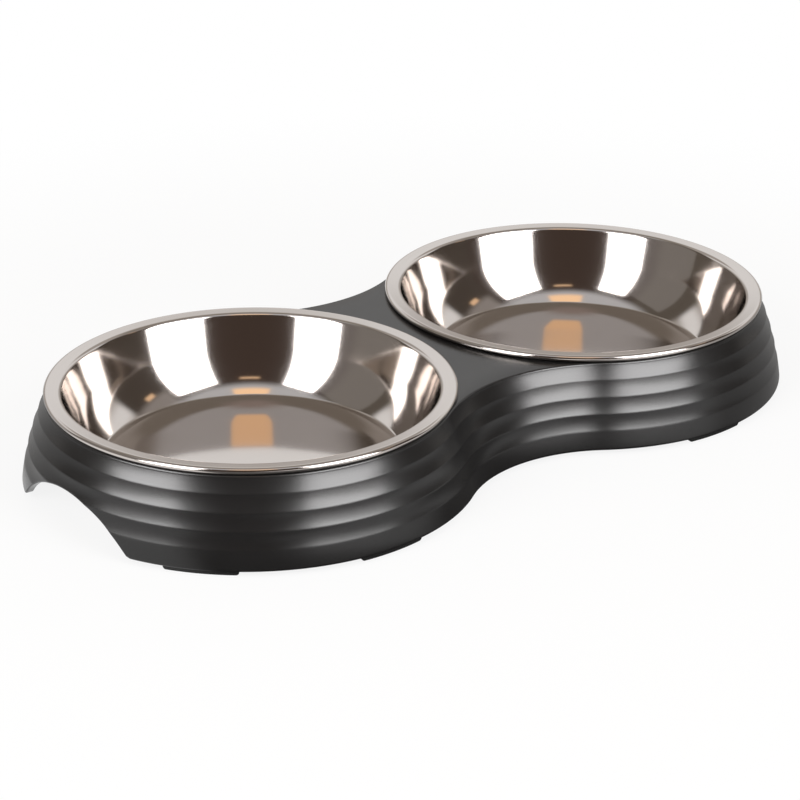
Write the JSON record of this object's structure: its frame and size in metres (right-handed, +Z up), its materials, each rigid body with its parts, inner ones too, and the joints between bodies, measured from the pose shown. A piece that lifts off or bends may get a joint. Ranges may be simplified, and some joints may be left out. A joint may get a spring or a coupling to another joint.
{
  "type": "double pet bowl",
  "caption": "Rippled, flared figure-of-eight stand with hand-hold arches and rubber feet, holding lift-out polished steel bowls by their rolled rims.",
  "frame": {"origin": "on the table, under the middle of the stand", "axes": "+X along the pair of bowls, -Y towards the viewer's long side, +Z up"},
  "size_m": [0.3208, 0.1678, 0.0363],
  "materials": {
    "stand_moulding": "satin charcoal moulding",
    "bowl_steel": "mirror polished stainless steel",
    "foot_rubber": "matte black rubber"
  },
  "bodies": {
    "stand": {"stand": "stand_moulding", "foot_left_side_front": "foot_rubber", "foot_left_side_back": "foot_rubber", "foot_left_end_front": "foot_rubber", "foot_left_end_back": "foot_rubber", "foot_right_side_front": "foot_rubber", "foot_right_side_back": "foot_rubber", "foot_right_end_front": "foot_rubber", "foot_right_end_back": "foot_rubber"},
    "bowl_left": {"bowl_left": "bowl_steel"},
    "bowl_right": {"bowl_right": "bowl_steel"}
  },
  "joints": [
    {"name": "bowl_left_lift", "type": "slide", "parent": "stand", "child": "bowl_left", "axis": [0, 0, 1], "range_m": [0, 0.05]},
    {"name": "bowl_right_lift", "type": "slide", "parent": "stand", "child": "bowl_right", "axis": [0, 0, 1], "range_m": [0, 0.05]}
  ]
}
